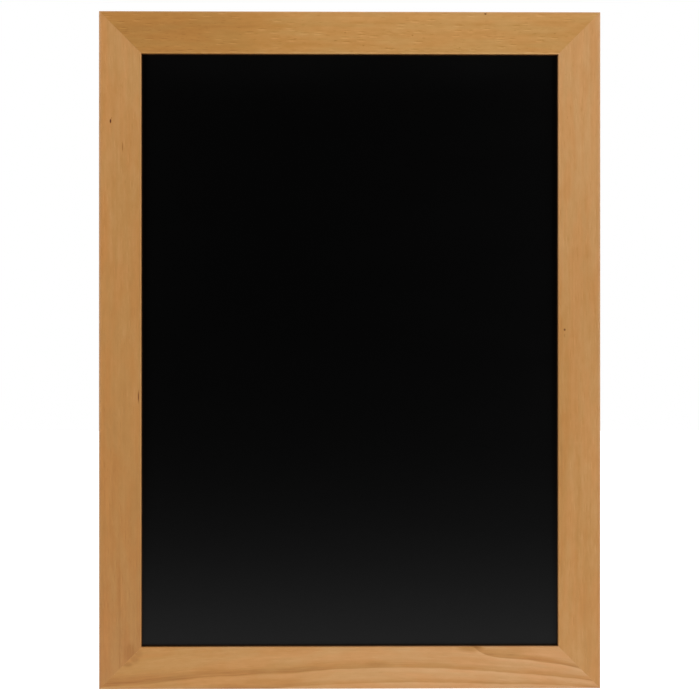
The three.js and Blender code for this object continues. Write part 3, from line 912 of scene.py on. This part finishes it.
# Profile points joined by edges, with the axis along Z
def turnedShape(work, profile, sides):
    corners = [work.verts.new((radius, 0, height)) for radius, height in profile]
    lines = [work.edges.new(pair) for pair in zip(corners, corners[1:])]
    bmesh.ops.spin(work, geom=corners + lines, cent=(0, 0, 0), axis=(0, 0, 1), angle=2 * math.pi, steps=sides,
                   use_merge=True, use_duplicate=False)
    bmesh.ops.remove_doubles(work, verts=work.verts, dist=joined["turned"])


def arc(centre, radius, startAngle, endAngle, steps):
    angles = [startAngle + (endAngle - startAngle) * i / steps for i in range(steps + 1)]
    return [(centre[0] + radius * math.cos(a), centre[1] + radius * math.sin(a)) for a in angles]


def cut(piece, cutter):
    boolean = piece.modifiers.new("Recess", "BOOLEAN")
    boolean.operation, boolean.solver, boolean.object = "DIFFERENCE", "EXACT", cutter
    shaped = piece.evaluated_get(bpy.context.evaluated_depsgraph_get())
    mesh = bpy.data.meshes.new_from_object(shaped)
    work = bmesh.new()
    work.from_mesh(mesh)
    for left in (piece, cutter):
        bpy.data.objects.remove(left)
    bpy.data.meshes.remove(mesh)
    return work


def looseObject(name, work):
    mesh = bpy.data.meshes.new(name)
    work.to_mesh(mesh)
    work.free()
    loose = bpy.data.objects.new(name, mesh)
    bpy.context.scene.collection.objects.link(loose)
    return loose


def crossCutter():
    work = bmesh.new()
    spare = 0.3 * mm  # above the head
    near, far = screw["recessWidth"] / 2, screw["recessSpan"] / 2
    quarter = [(far, -near), (far, near), (near, near)]
    plan = [(x * math.cos(a) - y * math.sin(a), x * math.sin(a) + y * math.cos(a))
            for a in (0, math.pi / 2, math.pi, 1.5 * math.pi) for x, y in quarter]
    top = screw["headHeight"] + spare
    face = work.faces.new([work.verts.new((x, y, top)) for x, y in plan])
    lower = bmesh.ops.extrude_face_region(work, geom=[face])["geom"]
    lowerVerts = [v for v in lower if isinstance(v, bmesh.types.BMVert)]
    bmesh.ops.translate(work, verts=lowerVerts, vec=(0, 0, -screw["recessDepth"] - spare))
    bmesh.ops.scale(work, verts=lowerVerts, vec=(screw["recessTaper"], screw["recessTaper"], 1))
    bmesh.ops.recalc_face_normals(work, faces=work.faces)
    return looseObject("crossCutter", work)


def panHeadScrew(name, node, recessTurn):
    work = bmesh.new()
    head, height, rounding = screw["headRadius"], screw["headHeight"], screw["headRounding"]
    root, tip = screw["rootRadius"], screw["tipLength"] - screw["length"]
    thread, rim = screw["threadRadius"], screw["rimEasing"]
    profile = [(0, -screw["length"]), (root, tip), (root, -screw["collar"][0]), (thread, -screw["collar"][1]),
               (thread, 0), (head - rim, 0), (head, rim)]
    profile += arc((head - rounding, height - rounding), rounding, 0, math.pi / 2, screw["roundingSteps"])
    profile.append((0, height))
    turnedShape(work, profile, screw["sides"])
    bmesh.ops.recalc_face_normals(work, faces=work.faces)
    work = cut(looseObject("screwBlank", work), crossCutter())

    # The thread: a small triangle wound round the root, closed at both ends
    turns = screw["threadTurns"]
    steps = turns * screw["threadSteps"]
    inner, half = root - screw["threadSink"], screw["threadHalf"]
    ridge = [(inner, half), (thread, 0.0), (inner, -half)]
    startHeight = tip + screw["threadStart"]
    triangle = [work.verts.new((radius, 0, startHeight + lift * screw["pitch"])) for radius, lift in ridge]
    firstFace = work.faces.new(triangle)
    bmesh.ops.spin(work, geom=[firstFace], cent=(0, 0, 0), axis=(0, 0, 1), angle=2 * math.pi * turns, steps=steps,
                   dvec=(0, 0, screw["pitch"] * turns / steps))
    low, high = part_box(node)
    underHead = Vector(((low.x + high.x) / 2, high.y - height, (low.z + high.z) / 2))
    place = Matrix.Translation(underHead) @ Matrix.Rotation(-math.pi / 2, 4, "X") @ Matrix.Rotation(recessTurn, 4, "Z")
    bmesh.ops.transform(work, matrix=place, verts=work.verts)
    addPiece(name, work, zincPlating, "frame", node, 40)


# Rubber feet with a moulded rim and a dimple in the middle
foot = {
    "radius": 6 * mm,
    "height": 4 * mm,
    "baseEasing": 0.2 * mm,
    "rimHeight": 0.7 * mm,
    "rimStep": 0.12 * mm,
    "rimSlope": 0.15 * mm,
    "rounding": 1.5 * mm,
    "roundingSteps": 8,
    "dimpleRadius": 1.6 * mm,
    "dimpleDepth": 0.35 * mm,
    "dimpleEdge": (0.25 * mm, 0.08 * mm),  # how wide and how deep its soft edge is
    "dimpleFloor": 0.6,  # of its radius
    "sides": 56,
}


def rubberFoot(name, node):
    work = bmesh.new()
    radius, height, rounding = foot["radius"], foot["height"], foot["rounding"]
    base, rim, step = foot["baseEasing"], foot["rimHeight"], foot["rimStep"]
    dimple, floorHeight = foot["dimpleRadius"], height - foot["dimpleDepth"]
    edgeWidth, edgeDepth = foot["dimpleEdge"]
    profile = [(0, 0), (radius - base, 0), (radius, base), (radius, rim), (radius - step, rim + foot["rimSlope"])]
    profile += arc((radius - rounding - step, height - rounding), rounding, 0, math.pi / 2, foot["roundingSteps"])
    profile += [(dimple + edgeWidth, height), (dimple, height - edgeDepth),
                (dimple * foot["dimpleFloor"], floorHeight), (0, floorHeight)]
    turnedShape(work, profile, foot["sides"])
    low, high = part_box(node)
    seat = Vector(((low.x + high.x) / 2, low.y, (low.z + high.z) / 2))
    place = Matrix.Translation(seat) @ Matrix.Rotation(-math.pi / 2, 4, "X")
    bmesh.ops.transform(work, matrix=place, verts=work.verts)
    addPiece(name, work, blackRubber, "frame", node, 40)


# Each screw stopped at its own angle, in radians
recessTurns = {"left_upper": 0.3, "left_lower": 1.1, "right_upper": -0.5, "right_lower": 0.15}
for side in ("left", "right"):
    wireRing("ring_wire_" + side, "d_ring_" + side, side + "_ring")
    rubberFoot("rubber_foot_" + side, "bumper_" + side)
    for level in ("upper", "lower"):
        spot = side + "_" + level
        panHeadScrew("pan_screw_" + spot, "hanger_screw_" + spot, recessTurns[spot])
print("rings, screws and feet made")


# Stage: a pale floor below the board, and a dark card in front of it that only reflections see
stage = {
    "floorDrop": 0.32,  # below the board's bottom edge
    "floorColour": grey(0.86),
    "floorRoughness": 0.9,
    "floorSpecular": 0.1,
    "floorHalf": 14,
    "floorGlow": (1.0, 3.2, 0.12, 1.0),  # distances from the board between which it turns white, and glow at each
    "cardDistance": 0.8,
    "cardHalfWidth": 3.0,
    "cardBottom": -0.38,  # from the board's centre
    "cardTop": 1.4,
    "cardColour": grey(0.004),
    "ambient": 0.4,
}


def stageSheet(name, corners, material):
    work = bmesh.new()
    work.faces.new([work.verts.new(corner) for corner in corners])
    sheet = looseObject(name, work)
    sheet.data.materials.append(material)
    return sheet


floorMaterial, tree, shader, place = newMaterial("pale floor", {
    "Base Color": stage["floorColour"],
    "Roughness": stage["floorRoughness"],
    "Specular IOR Level": stage["floorSpecular"],
    "Emission Color": grey(1),
})
away = addNode(tree, "ShaderNodeVectorMath", {0: place}, operation="LENGTH").outputs[1]
path = addNode(tree, "ShaderNodeLightPath", {}).outputs
seen = largest(tree, [path["Is Camera Ray"], path["Is Transmission Ray"]])
seen = times(tree, seen, ease(tree, away, *stage["floorGlow"]))
wire(tree, shader, {"Emission Strength": largest(tree, [seen, path["Is Glossy Ray"]])})
half, floorLevel = stage["floorHalf"], bottomEdge - stage["floorDrop"]
floorPlan = ((-half, -half), (half, -half), (half, half), (-half, half))
stageSheet("floor", [(x, y, floorLevel) for x, y in floorPlan], floorMaterial)

cardMaterial = newMaterial("dark card", {"Base Color": stage["cardColour"], "Roughness": 1.0})[0]
cardY, wide = frontFace - stage["cardDistance"], stage["cardHalfWidth"]
low, high = boardCentre.z + stage["cardBottom"], boardCentre.z + stage["cardTop"]
cardPlan = ((-wide, low), (wide, low), (wide, high), (-wide, high))
card = stageSheet("dark_card", [(x, cardY, z) for x, z in cardPlan], cardMaterial)
card.visible_camera = card.visible_diffuse = card.visible_transmission = card.visible_shadow = False

# The world is white to the eye and in reflections, and a plain grey as a light
world = bpy.data.worlds.new("white studio")
bpy.context.scene.world = world
world.use_nodes = True
tree = world.node_tree
path = addNode(tree, "ShaderNodeLightPath", {}).outputs
bright = largest(tree, [path["Is Camera Ray"], path["Is Glossy Ray"], path["Is Transmission Ray"]])
background = tree.nodes["Background"]
background.inputs["Color"].default_value = grey(1)
tree.links.new(ease(tree, bright, 0, 1, stage["ambient"], 1.0), background.inputs["Strength"])

# Places are in metres from the board's centre, and powers in watts
lamps = {
    "left": {"place": (-1.9, -1.9, 0.5), "size": 1.3, "power": 18},
    "right": {"place": (1.9, -1.9, 0.3), "size": 1.3, "power": 22},
    "above": {"place": (0.3, -0.5, 2.3), "size": 1.8, "power": 10},
    "back": {"place": (-0.9, 2.2, 1.2), "size": 2.8, "power": 34},
    "back_right": {"place": (1.6, 1.7, 0.2), "size": 2.0, "power": 15},
}
for name, lamp in lamps.items():
    light = bpy.data.lights.new("lamp_" + name, "AREA")
    light.energy, light.size = lamp["power"], lamp["size"]
    lightObject = bpy.data.objects.new("lamp_" + name, light)
    bpy.context.scene.collection.objects.link(lightObject)
    lightObject.location = boardCentre + Vector(lamp["place"])
    lightObject.rotation_euler = (-Vector(lamp["place"])).to_track_quat("-Z", "Y").to_euler()

# Camera in front of the board, a touch to its left and above it as in the photograph
photo = {
    "side": 700,  # pixels
    "boardMiddle": (350.12, 350.28),  # pixels from the left and from the top
    "pixel": 1.0 * mm,  # on the frame's front
    "distance": 2.0,
    "degreesLeft": 0.83,
    "degreesAbove": 0.04,
    "sensor": 36,
    "farthest": 100,
}
camera = bpy.data.cameras.new("camera")
camera.sensor_width = photo["sensor"]
camera.lens = photo["sensor"] * photo["distance"] / (photo["side"] * photo["pixel"])
camera.clip_end = photo["farthest"]
cameraObject = bpy.data.objects.new("camera", camera)
bpy.context.scene.collection.objects.link(cameraObject)
right = (photo["side"] / 2 - photo["boardMiddle"][0]) * photo["pixel"]
above = (photo["boardMiddle"][1] - photo["side"] / 2) * photo["pixel"]
swing = (Matrix.Rotation(-math.radians(photo["degreesLeft"]), 4, "Z")
         @ Matrix.Rotation(-math.radians(photo["degreesAbove"]), 4, "X"))
cameraObject.location = boardCentre + swing @ Vector((right, -photo["distance"], above))
cameraObject.rotation_euler = (swing @ Matrix.Rotation(math.pi / 2, 4, "X")).to_euler()
bpy.context.scene.camera = cameraObject
bpy.context.scene.view_settings.view_transform = "Standard"
print("stage, lamps and camera set")
